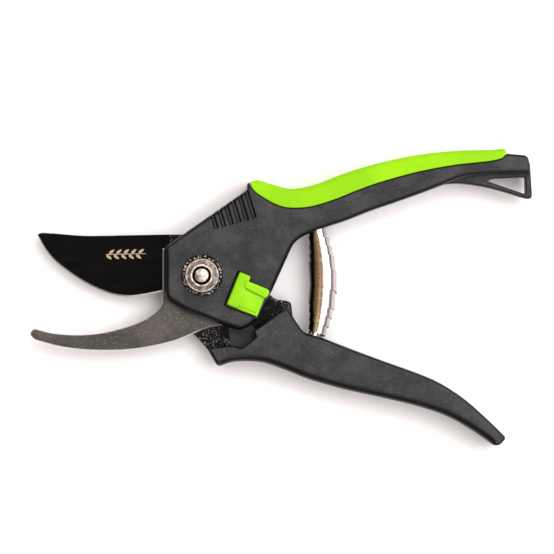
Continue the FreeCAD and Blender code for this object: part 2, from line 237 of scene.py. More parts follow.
def platedSteel():
    kit = Finish("platedSteel", Metallic=1.0)
    wear = kit.noise(600, 4, 0.7)
    lines = kit.noise(1500, 2, 0.5)
    tone = kit.mix(wear.ramp(0.35, 0.65), rgb(0.30, 0.23, 0.19), rgb(0.72, 0.64, 0.58))
    # painted shade: rounds, walls, chamfers and thread flanks darkened to brown-black
    tone = kit.mix(flatness(kit, 0.6, 0.985), rgb(0.085, 0.062, 0.05), tone)
    return kit.feed(Base_Color=tone, Roughness=lines.ramp(0.2, 0.8, 0.3, 0.46),
                    Normal=kit.bump(wear + lines * 0.4, 0.00008, 0.6))


def blackenedSteel():
    kit = Finish("blackenedSteel", IOR=1.4)
    wear = kit.noise(1100, 2, 0.6)
    tone = kit.mix(wear.ramp(0.5, 0.62), rgb(0.004, 0.004, 0.004), rgb(0.6, 0.57, 0.53))
    return kit.feed(Base_Color=tone, Metallic=wear.ramp(0.45, 0.6, 0.1, 1.0),
                    Roughness=wear.ramp(0.2, 0.8, 0.18, 0.34), Normal=kit.bump(wear, 0.0001, 0.7))


def springStrip():
    kit = Finish("springStrip", Metallic=1.0)
    roll = kit.noise(120, 3, 0.6, kit.place((1, 10, 1)))
    stain = kit.noise(260, 3, 0.6)
    facing = kit.node("ShaderNodeSeparateXYZ", None, {0: kit.node("ShaderNodeNewGeometry",
                                                                  output="Normal")})
    along = Wire(kit, facing.socket.node.outputs[1]).math("ABSOLUTE")
    tone = kit.mix(stain.ramp(0.3, 0.7), rgb(0.80, 0.76, 0.72), rgb(0.90, 0.88, 0.88))
    # painted reflection and shade: faces turned left painted gold, the steepest of them near black
    tone = kit.mix(facing.ramp(-0.2, 0.15, 1, 0), tone, rgb(0.55, 0.40, 0.20))
    tone = kit.mix(facing.ramp(-0.8, -0.32, 1, 0), tone, rgb(0.02, 0.02, 0.025))
    # painted reflection: faces turned right painted pale pink-grey
    tone = kit.mix(facing.ramp(0.42, 0.6), tone, rgb(0.50, 0.44, 0.46))
    # painted shade: faces turned up or down the coil axis painted dark
    tone = kit.mix(along.ramp(0.75, 0.92), tone, rgb(0.05, 0.04, 0.04))
    return kit.feed(Base_Color=tone, Roughness=roll.ramp(0.2, 0.8, 0.14, 0.3),
                    Normal=kit.bump(roll, 0.00002, 0.4))


def goldPrint():
    kit = Finish("goldPrint", Metallic=0.6)
    speck = kit.noise(3000, 2, 0.5)
    tone = kit.mix(speck.ramp(0.35, 0.65), rgb(0.24, 0.18, 0.10), rgb(0.48, 0.39, 0.24))
    return kit.feed(Base_Color=tone, Roughness=speck.ramp(0.2, 0.8, 0.4, 0.55))


def paleFloor():
    kit = Finish("paleFloor")
    tint = kit.noise(3, 2, 0.5)
    tone = kit.mix(tint, rgb(0.90, 0.885, 0.885), rgb(0.93, 0.92, 0.92))
    return kit.feed(Base_Color=tone, Roughness=tint.ramp(0, 1, 0.75, 0.85))


finishes = {make.__name__: make() for make in (
    blackNylon, limeSkin, limeMoulding, coatedBlack, crinkledBlack, sandedSteel, groundSteel,
    platedSteel, blackenedSteel, springStrip, goldPrint, paleFloor)}
print("finishes made")


# outlines: runs of (edge round, corner round, points), each starting where the last ended
def sampleRun(points, step):
    points = [np.array(p, float) for p in points]
    if len(points) == 2:
        count = max(2, int(np.linalg.norm(points[1] - points[0]) / step))
        return [points[0] + (points[1] - points[0]) * i / count for i in range(count)]
    padded = [2 * points[0] - points[1]] + points + [2 * points[-1] - points[-2]]
    out = []
    for a, b, c, d in zip(padded, padded[1:], padded[2:], padded[3:]):
        count = max(2, int(np.linalg.norm(c - b) / step))
        for i in range(count):
            t = i / count
            out.append(0.5 * (2 * b + (c - a) * t + (2 * a - 5 * b + 4 * c - d) * t * t
                              + (3 * b - a - 3 * c + d) * t ** 3))
    return out


def outline(runs, step=0.7):
    start = runs[-1][2][-1]
    spots, rounds = [], []
    corners = []
    for edge, corner, points in runs:
        run = sampleRun([start] + list(points), step)
        spots += run
        rounds += [edge] * len(run)
        start = points[-1]
        corners.append((np.array(start, float), corner))
    spots, rounds = np.array(spots), np.array(rounds, float)
    for centre, reach in corners:
        if reach <= 0:
            continue
        gap = np.linalg.norm(spots - centre, axis=1)
        near = np.where(gap < reach)[0]
        if len(near) < 2:
            continue
        shift = int(np.argmin(gap))
        spots, rounds, gap = (np.roll(a, -shift, 0) for a in (spots, rounds, gap))
        ahead = next(i for i in range(len(gap)) if gap[i] >= reach)
        back = next(i for i in range(len(gap)) if gap[-1 - i] >= reach)
        first, last = spots[-1 - back], spots[ahead]
        bend = [first * (1 - t) ** 2 + 2 * centre * t * (1 - t) + last * t * t
                for t in np.linspace(0, 1, 9)[1:-1]]
        ease = [rounds[-1 - back] * (1 - t) + rounds[ahead] * t for t in np.linspace(0, 1, 9)[1:-1]]
        keep = slice(ahead, len(gap) - back)
        spots = np.vstack([spots[keep], bend])
        rounds = np.concatenate([rounds[keep], ease])
    for _ in range(3):
        rounds = 0.5 * rounds + 0.25 * (np.roll(rounds, 1) + np.roll(rounds, -1))
    return spots, rounds


def nearest(points, loops):
    best = np.full(len(points), 1e9)
    edge = np.zeros(len(points))
    for spots, rounds in loops:
        ends = np.roll(spots, -1, 0)
        along = ends - spots
        length = np.maximum((along ** 2).sum(1), 1e-12)
        for k in range(0, len(points), 2000):
            part = points[k:k + 2000]
            share = np.clip(((part[:, None] - spots[None]) * along[None]).sum(2) / length, 0, 1)
            gap = np.linalg.norm(part[:, None] - spots[None] - share[..., None] * along[None],
                                 axis=2)
            index = gap.argmin(1)
            row = np.arange(len(part))
            near = gap[row, index]
            value = rounds[index] * (1 - share[row, index]) + np.roll(rounds,
                                                                      -1)[index] * share[row, index]
            better = near < best[k:k + 2000]
            best[k:k + 2000] = np.where(better, near, best[k:k + 2000])
            edge[k:k + 2000] = np.where(better, value, edge[k:k + 2000])
    return best, edge


def inside(points, spots):
    x, y = points[:, 0][:, None], points[:, 1][:, None]
    ax, ay = spots[:, 0][None], spots[:, 1][None]
    bx, by = np.roll(spots[:, 0], -1)[None], np.roll(spots[:, 1], -1)[None]
    crossing = ((ay > y) != (by > y)) & (x < (bx - ax) * (y - ay) / (by - ay + 1e-15) + ax)
    return crossing.sum(1) % 2 == 1


def placed(name, data):
    thing = bpy.data.objects.new(name, data)
    bpy.context.scene.collection.objects.link(thing)
    return thing


def soften(mesh, sharp):
    for face in mesh.polygons:
        face.use_smooth = True
    mesh.set_sharp_from_angle(angle=math.radians(sharp))


# the mesh that an object's modifiers make, kept in place of its own
def applied(thing):
    mesh = bpy.data.meshes.new_from_object(
        thing.evaluated_get(bpy.context.evaluated_depsgraph_get()))
    thing.modifiers.clear()
    thing.data = mesh
    return mesh


# a flat moulding or plate: an outline, its two faces, and a round along every edge
def plate(name, runs, low, high, finish, backShare=1.0, holes=(), step=0.7, sharp=35):
    loops = [outline(runs, step)] + [outline(h, step) for h in holes]
    spots = np.vstack([loop[0] for loop in loops])
    edges, offset = [], 0
    for loop, _ in loops:
        edges += [(offset + i, offset + (i + 1) % len(loop)) for i in range(len(loop))]
        offset += len(loop)
    inner = []
    for loop, rounds in loops:
        along = np.roll(loop, -1, 0) - np.roll(loop, 1, 0)
        along /= np.linalg.norm(along, axis=1)[:, None]
        side = np.stack([-along[:, 1], along[:, 0]], 1)
        if ((loop[:, 0] * np.roll(loop[:, 1], -1) - loop[:, 1] * np.roll(loop[:, 0],
                                                                         -1)).sum() < 0) != (
                loop is not loops[0][0]):
            side = -side
        for turn in (12, 26, 42, 60, 90):
            depth = rounds * (1 - math.cos(math.radians(turn)))
            ring = loop + side * depth[:, None]
            gap, _ = nearest(ring, loops)
            inner.append(ring[(gap > depth * 0.97) & (depth > 0.01)])
    if rounds.max() > 0.02:
        grid = np.stack(np.meshgrid(np.arange(spots[:, 0].min(), spots[:, 0].max(), 1.7),
                                    np.arange(spots[:, 1].min(), spots[:, 1].max(), 1.7)),
                        -1).reshape(-1, 2)
        gap, edge = nearest(grid, loops)
        inner.append(grid[(gap > edge + 0.3) & inside(grid, loops[0][0])])
    points = np.vstack([spots] + inner)
    verts, _, faces, _, _, _ = delaunay_2d_cdt([Vector(p) for p in points], edges, [], 0, 1e-5)
    flat = np.array([tuple(v) for v in verts])
    faces = np.array([f for f in faces if len(f) == 3])
    middle = flat[faces].mean(1)
    keep = inside(middle, loops[0][0])
    for hole, _ in loops[1:]:
        keep &= ~inside(middle, hole)
    faces = faces[keep]
    a, b, c = flat[faces[:, 0]], flat[faces[:, 1]], flat[faces[:, 2]]
    area = (b - a)[:, 0] * (c - a)[:, 1] - (b - a)[:, 1] * (c - a)[:, 0]
    faces = np.where((area < 0)[:, None], faces[:, ::-1], faces)[np.abs(area) > 1e-7]
    gap, edge = nearest(flat, loops)
    limit = (high - low) * 0.49

    def drop(radius):
        radius = np.minimum(radius, limit)
        run = np.clip(radius - gap, 0, None)
        return radius - np.sqrt(np.maximum(radius ** 2 - run ** 2, 0))

    top = high - drop(edge)
    bottom = low + drop(edge * backShare)
    count = len(flat)
    pairs = {}
    for face in faces:
        for i in range(3):
            pairs[(int(face[i]), int(face[(i + 1) % 3]))] = True
    walls = [(p + count, q + count, q, p) for p, q in pairs if (q, p) not in pairs]
    mesh = bpy.data.meshes.new(name)
    mesh.from_pydata([(x * mm, y * mm, z * mm) for (x, y), z in zip(flat, top)]
                     + [(x * mm, y * mm, z * mm) for (x, y), z in zip(flat, bottom)], [],
                     [tuple(int(v) for v in f) for f in faces]
                     + [tuple(int(v) + count for v in f[::-1]) for f in faces] + walls)
    return shown(name, mesh, finish, sharp)


def shown(name, mesh, finish, sharp=35):
    clean = bmesh.new()
    clean.from_mesh(mesh)
    bmesh.ops.remove_doubles(clean, verts=clean.verts, dist=1e-7)
    loose = [v for v in clean.verts if not v.link_faces]
    bmesh.ops.delete(clean, geom=loose, context="VERTS")
    clean.to_mesh(mesh)
    clean.free()
    soften(mesh, sharp)
    mesh.materials.clear()
    mesh.materials.append(finishes[finish])
    return placed(name, mesh)


# solid of revolution about the pivot: profile of (radius, height), closed on the axis
def lathe(name, profile, finish, turns=96, wave=None, sharp=35):
    mesh = bpy.data.meshes.new(name)
    verts, faces = [], []
    for i in range(turns):
        angle = 2 * math.pi * i / turns
        for radius, height in profile:
            radius = radius + (wave(radius, height, angle) if wave else 0)
            verts.append((radius * math.cos(angle) * mm, radius * math.sin(angle) * mm,
                          height * mm))
    rows = len(profile)
    for i in range(turns):
        for j in range(rows - 1):
            a, b = i * rows + j, (i + 1) % turns * rows + j
            faces.append((a, b, b + 1, a + 1))
    mesh.from_pydata(verts, [], faces)
    thing = shown(name, mesh, finish, sharp)
    fixed = bmesh.new()
    fixed.from_mesh(mesh)
    bmesh.ops.dissolve_degenerate(fixed, edges=fixed.edges, dist=1e-7)
    bmesh.ops.recalc_face_normals(fixed, faces=fixed.faces)
    fixed.to_mesh(mesh)
    fixed.free()
    return thing


def carve(thing, cutters, kind="DIFFERENCE", sharp=35):
    for cutter in cutters:
        cut = thing.modifiers.new("cut", "BOOLEAN")
        cut.operation = kind
        cut.solver = "EXACT"
        cut.use_self = cutter.name.startswith("rods")
        cut.object = cutter
    soften(applied(thing), sharp)
    for cutter in cutters:
        bpy.data.objects.remove(cutter)
    return thing


def merge(name, things):
    whole = bmesh.new()
    for thing in things:
        whole.from_mesh(thing.data)
    materials = [thing.data.materials[0] for thing in things]
    offset = 0
    mesh = bpy.data.meshes.new(name)
    whole.to_mesh(mesh)
    whole.free()
    slots = []
    for material in materials:
        if material.name not in slots:
            slots.append(material.name)
            mesh.materials.append(material)
    for number, thing in enumerate(things):
        for _ in thing.data.polygons:
            mesh.polygons[offset].material_index = slots.index(materials[number].name)
            offset += 1
    merged = placed(name, mesh)
    for thing in things:
        bpy.data.objects.remove(thing)
    return merged


# geometry nodes helper
class Tree:
    def __init__(self, name, sizes):
        self.group = bpy.data.node_groups.new(name, "GeometryNodeTree")
        face = self.group.interface
        face.new_socket("Geometry", in_out="OUTPUT", socket_type="NodeSocketGeometry")
        self.keys = {}
        for key, value in sizes.items():
            kind = "NodeSocketInt" if isinstance(value, int) else "NodeSocketFloat"
            self.keys[key] = face.new_socket(key, in_out="INPUT", socket_type=kind).identifier
        self.sizes = sizes
        self.source = self.group.nodes.new("NodeGroupInput")

    def size(self, key):
        return self.source.outputs[key]

    def add(self, kind, settings=None, inputs=None, output=0):
        made = self.group.nodes.new(kind)
        for key, value in (settings or {}).items():
            setattr(made, key, value)
        for key, value in (inputs or {}).items():
            if isinstance(value, bpy.types.NodeSocket):
                self.group.links.new(value, made.inputs[key])
            else:
                made.inputs[key].default_value = value
        return made.outputs[output]

    def join(self, *parts):
        whole = self.add("GeometryNodeJoinGeometry")
        for part in parts:
            self.group.links.new(part, whole.node.inputs[0])
        return whole

    def calc(self, kind, a, b=0.0, c=0.0):
        return self.add("ShaderNodeMath", {"operation": kind}, {0: a, 1: b, 2: c})

    def solid(self, name, geometry, finish, sharp=35):
        real = self.add("GeometryNodeRealizeInstances", None, {"Geometry": geometry})
        done = self.add("GeometryNodeSetMaterial", None, {"Geometry": real,
                                                          "Material": finishes[finish]})
        end = self.group.nodes.new("NodeGroupOutput")
        self.group.links.new(done, end.inputs["Geometry"])
        thing = placed(name, bpy.data.meshes.new(name))
        maker = thing.modifiers.new(name, "NODES")
        maker.node_group = self.group
        for key, value in self.sizes.items():
            maker[self.keys[key]] = value
        mesh = applied(thing)
        mesh.materials.clear()
        mesh.materials.append(finishes[finish])
        for face in mesh.polygons:
            face.material_index = 0
        soften(mesh, sharp)
        return thing


# upper handle: head wall, beam, ribs, pocket, hanging loop
upper = {"ringRoom": 8.75, "ringDepth": 1.25, "boltHole": 4.2,
         "swing": 28.0, "swingRay": 17.5, "ribs": 6, "ribPitch": 3.44, "ribAngle": 34.3,
         "slotWide": 2.1, "slotSink": 0.2, "slotTilt": -73.1, "slotLong": 7.4, "slotGain": 1.15,
         "notch": 1.1, "ribsAt": (4.4, 25.2), "slotLead": 1.5}

gripLine = [(24, 33.6), (30, 30.1), (36, 28.3), (45, 28.7), (55, 31.6), (65, 35.6), (75, 39.1),
            (90, 43.2), (105, 46), (120, 47.7), (125.4, 48.9)]

upperRuns = [
    (2.5, 3.0, [(-15.8, -9.6)]),
    (2.5, 0.5, [(-8, -14.2), (0, -17.5), (8, -20.6), (15.4, -22.9)]),
    (2.5, 5.0, [(21.6, -21.0)]),
    (1.9, 2.0, [(26.5, -10.5)]),
    (1.9, 2.0, [(28.6, -7.8)]),
    (2.0, 3.5, [(38.5, 14.2)]),
    (2.0, 0.5, [(44, 17.3), (50, 19.6), (60, 22.9), (70, 26.8), (80, 30.3), (90, 33.8), (100, 37.6),
                (109, 41), (118, 42.1), (128, 42.5), (137.2, 42.6)]),
    (1.0, 1.6, [(136.2, 50.1)]),
    (1.2, 0.3, [(127.4, 50.8)]),
    (0.5, 0.3, [(125.4, 48.9)]),
    (0.75, 0.3, gripLine[::-1][1:] + [(21.3, 35.9), (20.3, 37.4)]),
    (0.6, 0.4, [(19.9, 38.9)]),
    (0.6, 0.5, [(18.8, 38.2)]),
    (0.8, 0.6, [(18.8, 35.8)]),
    (1.8, 1.0, [(-15.8, 11.7)]),
]


def prismCutter(points, low, high):
    return plate("cutter", [(0.0, 0.0, [p]) for p in points], low, high, "blackNylon", step=50)


def drum(radius, low, high, turns=128):
    return lathe("cutter", [(0, low), (radius, low), (radius, high), (0, high)], "blackNylon",
                 turns)


def swingCutters():
    reach = 70
    ray = math.radians(upper["swingRay"])
    wedge = [(0, 0), (-reach, -reach), (reach * math.cos(ray), -reach),
             (reach * math.cos(ray), reach * math.sin(ray))]
    return [drum(upper["swing"], -2, layers["hookHigh"]), prismCutter(wedge, -2,
                                                                      layers["hookHigh"])]


def ribCutters():
    tree = Tree("thumbRibs", {"Ribs": upper["ribs"], "Pitch": upper["ribPitch"] * mm,
                              "Wide": upper["slotWide"] * mm, "Long": upper["slotLong"] * mm,
                              "Gain": upper["slotGain"] * mm, "Sink": upper["slotSink"] * mm,
                              "Front": layers["front"] * mm, "Notch": upper["notch"] * mm})
    line, tilt = math.radians(upper["ribAngle"]), math.radians(upper["slotTilt"])
    step = tree.add("ShaderNodeCombineXYZ", None, {
        0: tree.calc("MULTIPLY", tree.size("Pitch"), math.cos(line)),
        1: tree.calc("MULTIPLY", tree.size("Pitch"), math.sin(line))})
    row = tree.add("GeometryNodeMeshLine", {"mode": "OFFSET"}, {
        "Count": tree.size("Ribs"), "Start Location": (upper["ribsAt"][0] * mm,
                                                       upper["ribsAt"][1] * mm, 0), "Offset": step})

    def bar(wide, long, height):
        edge = tree.add("GeometryNodeCurvePrimitiveQuadrilateral", None,
                        {"Width": long, "Height": wide})
        ends = tree.add("GeometryNodeFilletCurve", {"mode": "POLY"}, {
            "Curve": edge, "Count": 5, "Radius": tree.calc("MULTIPLY", wide, 0.42)})
        face = tree.add("GeometryNodeFillCurve", {"mode": "NGONS"}, {"Curve": ends})
        block = tree.add("GeometryNodeExtrudeMesh", None, {"Mesh": face, "Offset Scale": height,
                                                           "Individual": False})
        back = tree.add("GeometryNodeFlipFaces", None, {"Mesh": face})
        both = tree.join(block, back)
        return tree.add("GeometryNodeMergeByDistance", None, {"Geometry": both,
                                                              "Distance": 0.000001})

    # each slot is a little longer than the one before and runs in from the silhouette
    index = tree.add("GeometryNodeInputIndex")
    length = tree.calc("MULTIPLY_ADD", index, tree.size("Gain"), tree.size("Long"))
    scale = tree.add("ShaderNodeCombineXYZ", None, {
        0: tree.calc("DIVIDE", length, tree.size("Long")), 1: 1.0, 2: 1.0})
    middle = tree.calc("SUBTRACT", tree.calc("MULTIPLY", length, 0.5), upper["slotLead"] * mm)
    shift = tree.add("ShaderNodeCombineXYZ", None, {
        0: tree.calc("MULTIPLY", middle, math.cos(tilt)), 1: tree.calc("MULTIPLY", middle,
                                                                       math.sin(tilt)),
        2: tree.calc("SUBTRACT", tree.size("Front"), tree.size("Sink"))})
    moved = tree.add("GeometryNodeSetPosition", None, {"Geometry": row, "Offset": shift})
    half = tree.calc("MULTIPLY", tree.size("Long"), 0.5)
    axis = tree.add("GeometryNodeCurvePrimitiveLine", None, {
        "Start": tree.add("ShaderNodeCombineXYZ", None, {0: tree.calc("MULTIPLY", half, -1.0)}),
        "End": tree.add("ShaderNodeCombineXYZ", None, {0: half})})
    ring = tree.add("GeometryNodeCurvePrimitiveCircle", {"mode": "RADIUS"}, {
        "Resolution": 20, "Radius": tree.calc("MULTIPLY", tree.size("Wide"), 0.5)})
    rod = tree.add("GeometryNodeCurveToMesh", None, {"Curve": axis, "Profile Curve": ring,
                                                     "Fill Caps": True})
    slots = tree.add("GeometryNodeInstanceOnPoints", None, {
        "Points": moved, "Instance": rod, "Rotation": (0, 0, tilt), "Scale": scale})
    low = tree.add("GeometryNodeSetPosition", None, {"Geometry": row, "Offset": (0, 0, -2 * mm)})
    notches = tree.add("GeometryNodeInstanceOnPoints", None, {
        "Points": low, "Instance": bar(tree.calc("MULTIPLY", tree.size("Wide"), 0.7),
                                       tree.calc("MULTIPLY", tree.size("Notch"), 2.0), 26 * mm),
        "Rotation": (0, 0, tilt)})
    return tree.solid("rods", tree.join(slots, notches), "blackNylon")


catch = {"at": (10.3, -12.0), "turn": -22.0, "wide": 12.3, "reach": 13.7, "bar": 5.1,
         "barTall": 14.6, "base": 11.2, "floor": 0.9, "pocketLong": 26, "rail": 0.7, "capRise": 0.3}


def inCatchFrame(thing):
    move = Matrix.Translation((catch["at"][0] * mm, catch["at"][1] * mm, 0)) @ Matrix.Rotation(
        math.radians(catch["turn"]), 4, "Z")
    thing.data.transform(move)
    return thing


def pocketCutter():
    low = layers["hookHigh"] + catch["floor"]
    far, wide, tall, rail = catch["pocketLong"], catch["wide"], catch["barTall"] + 0.3, catch["rail"]
    well = prismCutter([(-1.1, -1.0), (far, -1.0), (far, wide + 0.1), (4.9, wide + 0.1),
                        (4.9, tall),
                        (-1.1, tall)], low, layers["front"] + 3)
    rails = prismCutter([(-0.1, -rail), (far, -rail), (far, wide + rail), (-0.1, wide + rail)],
                        low + 0.8, low + 2.4)
    return [inCatchFrame(well), inCatchFrame(rails)]


def upperHandle():
    shell = plate("upperShell", upperRuns, 0, layers["front"], "blackNylon")
    room = layers["front"] - upper["ringDepth"]
    return carve(shell, swingCutters() + pocketCutter() + [
        ribCutters(), drum(upper["ringRoom"], room, 30), drum(upper["boltHole"], 2, 30)])


loopRuns = [
    (0.5, 0.5, [(100.5, 38.0)]),
    (0.9, 0.5, [(106, 38.5), (112, 38.1), (119, 36.9), (127, 34.8), (133.4, 32.8)]),
    (0.9, 2.4, [(138.3, 31.6)]),
    (0.9, 0.4, [(137.3, 47.0)]),
    (0.5, 0.4, [(131, 46)]),
    (0.5, 0.4, [(101, 41.0)]),
]
loopHole = [
    (0.6, 1.3, [(119.2, 39.5)]),
    (0.6, 1.0, [(135.4, 34.0)]),
    (0.6, 0.9, [(135.3, 41.2)]),
    (0.6, 0.9, [(121.2, 40.5)]),
]


def hangingLoop():
    thick = layers["front"]
    return plate("hangingLoop", loopRuns, thick * 0.27, thick * 0.73, "blackNylon",
                 holes=[loopHole],
                 step=0.5)


gripRuns = [
    (2.4, 0.8, [(21.1, 39.4), (24, 39.7), (30, 37.8), (38, 36.2), (48, 38.2), (60, 42.8),
                (75, 47.2),
                (90, 50.3), (105, 52), (117, 52.35), (122, 52.5), (124.8, 53.0)]),
    (0.9, 1.0, [(126.7, 52.9)]),
    (0.8, 1.0, [(127.1, 50.9)]),
    (0.3, 0.3, [(125.4, 49.0)]),
    (0.3, 0.3, [(x, y + 0.04) for x, y in gripLine[::-1][1:]] + [(21.3, 35.96), (20.35, 37.5)]),
    (0.5, 0.8, [(20.0, 38.8)]),
]


def upperGrip():
    return plate("upperGripSkin", gripRuns, 0, layers["front"], "limeSkin")


lowerRuns = [
    (0.8, 0.5, [(21.6, -23.2)]),
    (0.5, 0.4, [(22.9, -25.7)]),
    (0.5, 0.8, [(16.7, -30.8)]),
    (0.7, 1.5, [(12.8, -29.2)]),
    (0.9, 0.6, [(2, -30.5)]),
    (1.6, 1.4, [(6.6, -38.2)]),
    (3.4, 0.6, [(14, -36.1), (25, -36.4), (35, -39.7), (45, -43.6), (60, -47.8), (75, -51.1),
                (90, -54.7), (102, -58.8), (112, -64.3), (121.6, -70.9)]),
    (0.9, 1.0, [(124.2, -71.1)]),
    (0.9, 1.0, [(127.1, -67.8)]),
    (1.3, 1.5, [(120, -60.9), (110, -52), (100, -45.4), (90, -41), (75, -35.6), (60, -30),
                (50, -26.1), (42.3, -24)]),
    (1.4, 1.2, [(35.4, -13.5)]),
]


def lowerHandle():
    return plate("lowerShell", lowerRuns, 0, layers["front"], "blackNylon")


backRuns = [(0.8, r, [p]) for r, p in (
    (6, (-12.5, -11)), (0.5, (-1, -24.4)), (3, (2.4, -30.8)), (1, (7.5, -36)), (1, (30, -34)),
    (1, (38.4, -22)), (0.8, (37.2, -11.1)), (2, (27.6, -10)), (8, (12, 11.4)), (9, (0, 16.4)),
    (8, (-12, 11.4)))]


def backHead():
    whole = plate("backHead", backRuns, 0, layers["bladeLow"], "blackNylon", backShare=0.6)
    return carve(whole, [drum(pivot["headSeat"], -1, 2.6), drum(turningBore, -1, 12)])


bladeTangRuns = [
    (0.3, 0.2, [(29, -8.6)]),
    (0.3, 0.6, [(31, -10), (35.6, -10.7)]),
    (0.3, 0.2, [(40.5, -24)]),
    (0.3, 0.2, [(22, -32.5)]),
    (0.3, 0.2, [(9, -33.6)]),
    (0.5, 0.2, [(2.6, -31.6)]),
    (0.5, 0.2, [(-3, -25.4)]),
    (0.3, 0.2, [(-12, -18.5), (-15.4, -10.5), (-16.3, -6.9)]),
    (0.3, 0.2, [(-14, 17.2)]),
    (0.3, 0.2, [(-7.5, 17.3), (0, 18.8), (10, 17), (19, 11), (24.6, 2), (26, -6.6)]),
]


def bladeTang():
    whole = plate("bladeTang", bladeTangRuns, layers["bladeLow"], layers["bladeHigh"] - 0.02,
                  "crinkledBlack")
    return carve(whole, [drum(turningBore, 0, 12)])


recess = [(10.6, -20.5), (11.3, -25.2), (11.8, -29.4), (16, -32), (24.5, -25), (20, -20)]


def recessFloor():
    level = layers["bladeHigh"]
    return plate("recessFloor", [(0.03, 0.4, [p]) for p in recess], level - 0.1, level + 0.06,
                 "blackNylon")


leaf = {"land": 0.3, "rimWide": 0.6, "grind": 9.0, "rows": 90,
        "spine": [(-14, 17.2), (-30, 16.9), (-48, 16.6), (-60, 17.4), (-67.2, 18.0), (-69.4, 17)],
        "edge": [(-14, -6.6), (-17.5, -6.9), (-25, -8.3), (-32, -8.9), (-40, -7.3), (-50.4, -2.4),
                 (-60.5, 4.8), (-65.6, 10.4), (-69.4, 17)]}


def evenly(points, count):
    run = np.array(sampleRun(points, 0.2) + [np.array(points[-1], float)])
    reach = np.concatenate([[0], np.cumsum(np.linalg.norm(np.diff(run, axis=0), axis=1))])
    at = np.linspace(0, reach[-1], count)
    return np.stack([np.interp(at, reach, run[:, 0]), np.interp(at, reach, run[:, 1])], 1)


def bladeLeaf():
    rows = leaf["rows"]
    spine, edge = evenly(leaf["spine"], rows), evenly(leaf["edge"], rows)
    low, high = layers["bladeLow"], layers["bladeHigh"]
    verts, faces, dull = [], [], []
    for s, e in zip(spine, edge):
        across = s - e
        width = max(np.linalg.norm(across), 1e-6)
        unit = across / width
        rim = min(leaf["rimWide"], width * 0.3)
        grind = min(leaf["grind"], width * 0.62)
        ring = [(s - unit * min(0.25, width * 0.1), high), (e + unit * rim, high),
                (e, high - leaf["land"]),
                (e, high - leaf["land"] - 0.12), (e + unit * grind, low),
                (s - unit * min(0.25, width * 0.1), low), (s, low + 0.25), (s, high - 0.25)]
        verts += [(p[0] * mm, p[1] * mm, z * mm) for p, z in ring]
    size = 8
    for i in range(rows - 1):
        for j in range(size):
            a, b = i * size + j, i * size + (j + 1) % size
            faces.append((a, a + size, b + size, b))
            dull.append(1 if j in (1, 2, 3) or (j in (6, 7) and i > rows - 12) else 0)
    faces += [tuple(range(size))[::-1], tuple(range((rows - 1) * size, rows * size))]
    dull += [0, 0]
    mesh = bpy.data.meshes.new("bladeLeaf")
    mesh.from_pydata(verts, [], faces)
    mesh.materials.append(finishes["coatedBlack"])
    mesh.materials.append(finishes["groundSteel"])
    for face, kind in zip(mesh.polygons, dull):
        face.material_index = kind
        face.use_smooth = True
    fixed = bmesh.new()
    fixed.from_mesh(mesh)
    bmesh.ops.recalc_face_normals(fixed, faces=fixed.faces)
    fixed.to_mesh(mesh)
    fixed.free()
    mesh.set_sharp_from_angle(angle=math.radians(8))
    return placed("bladeLeaf", mesh)


hookRuns = [
    (0.75, 0.3, [(-16.7, -7.5)]),
    (0.45, 0.3, [(-17.6, -13.3), (-25, -19), (-38, -23.3), (-50, -24.9), (-62, -24.3),
                 (-70.6, -22.2)]),
    (0.6, 0.8, [(-72.3, -24.4), (-70.3, -27.1)]),
    (0.8, 0.3, [(-58, -30.2), (-44, -31.5), (-28, -30.9), (-12, -27.6), (2, -22.2), (14, -20.4)]),
    (0.3, 3.0, [(21.5, -15)]),
    (0.3, 0.5, [(27, -6.5)]),
    (0.3, 0.5, [(35.4, 12.8)]),
    (0.3, 0.5, [(20, 22)]),
    (0.3, 0.5, [(-16.7, 11.2)]),
]


def hookBar():
    whole = plate("hookBar", hookRuns, layers["hookLow"], layers["hookHigh"], "sandedSteel",
                  step=0.6)
    return carve(whole, [drum(turningBore, 4, 20)])


# pivot hardware
pivot = {"flange": 7.1, "flangeThick": 1.2, "flats": 10.0, "tall": 5.0, "thread": 3.0, "pitch": 1.0,
         "threadDeep": 0.32, "headSeat": 7.3, "headWide": 7.0, "headThick": 1.6, "shank": 4.0,
         "washerLow": 1.62, "washerThick": 0.76, "washerBore": 4.1, "teeth": 30, "toothRing": 7.95,
         "toothTall": 0.9, "ringIn": 7.25, "ringOut": 8.5, "ringTall": 0.7, "hexTurn": 0.35}


def pivotNut():
    low = layers["front"] - ringRecess
    top = low + pivot["flangeThick"] + pivot["tall"]
    reach = pivot["flats"] / 2 / math.cos(math.pi / 6)
    corners = [(reach * math.cos(i * math.pi / 3 + pivot["hexTurn"]),
                reach * math.sin(i * math.pi / 3 + pivot["hexTurn"])) for i in range(6)]
    hexagon = plate("hexagon", [(0.1, 0.25, [p]) for p in corners], low + 0.2, top, "platedSteel")
    crown = lathe("crown", [(0, low), (reach + 3, low), (reach + 0.1, top - 0.9),
                            (reach - 1.15, top), (0, top)],
                  "platedSteel", 128)
    carve(hexagon, [crown], "INTERSECT")
    flange = lathe("flange", [(0, low), (pivot["flange"], low), (pivot["flange"], low + 0.5),
                              (6.9, low + 0.8), (6.5, low + 0.85),
                              (5.7, low + 0.5), (0, low + 0.5)], "platedSteel", 128)
    carve(hexagon, [flange], "UNION")
    return carve(hexagon, [lathe("bore", [(0, low - 1), (3.1, low - 1), (3.1, top - 1.4),
                                          (4.0, top + 0.1), (0, top + 0.1)],
                                 "platedSteel", 96)])


def threadDip(radius, height, angle):
    if radius < 2.6 or height < 15:
        return 0
    phase = (height / pivot["pitch"] - angle / (2 * math.pi)) % 1
    return -pivot["threadDeep"] * abs(2 * phase - 1) if height < 22.4 else 0


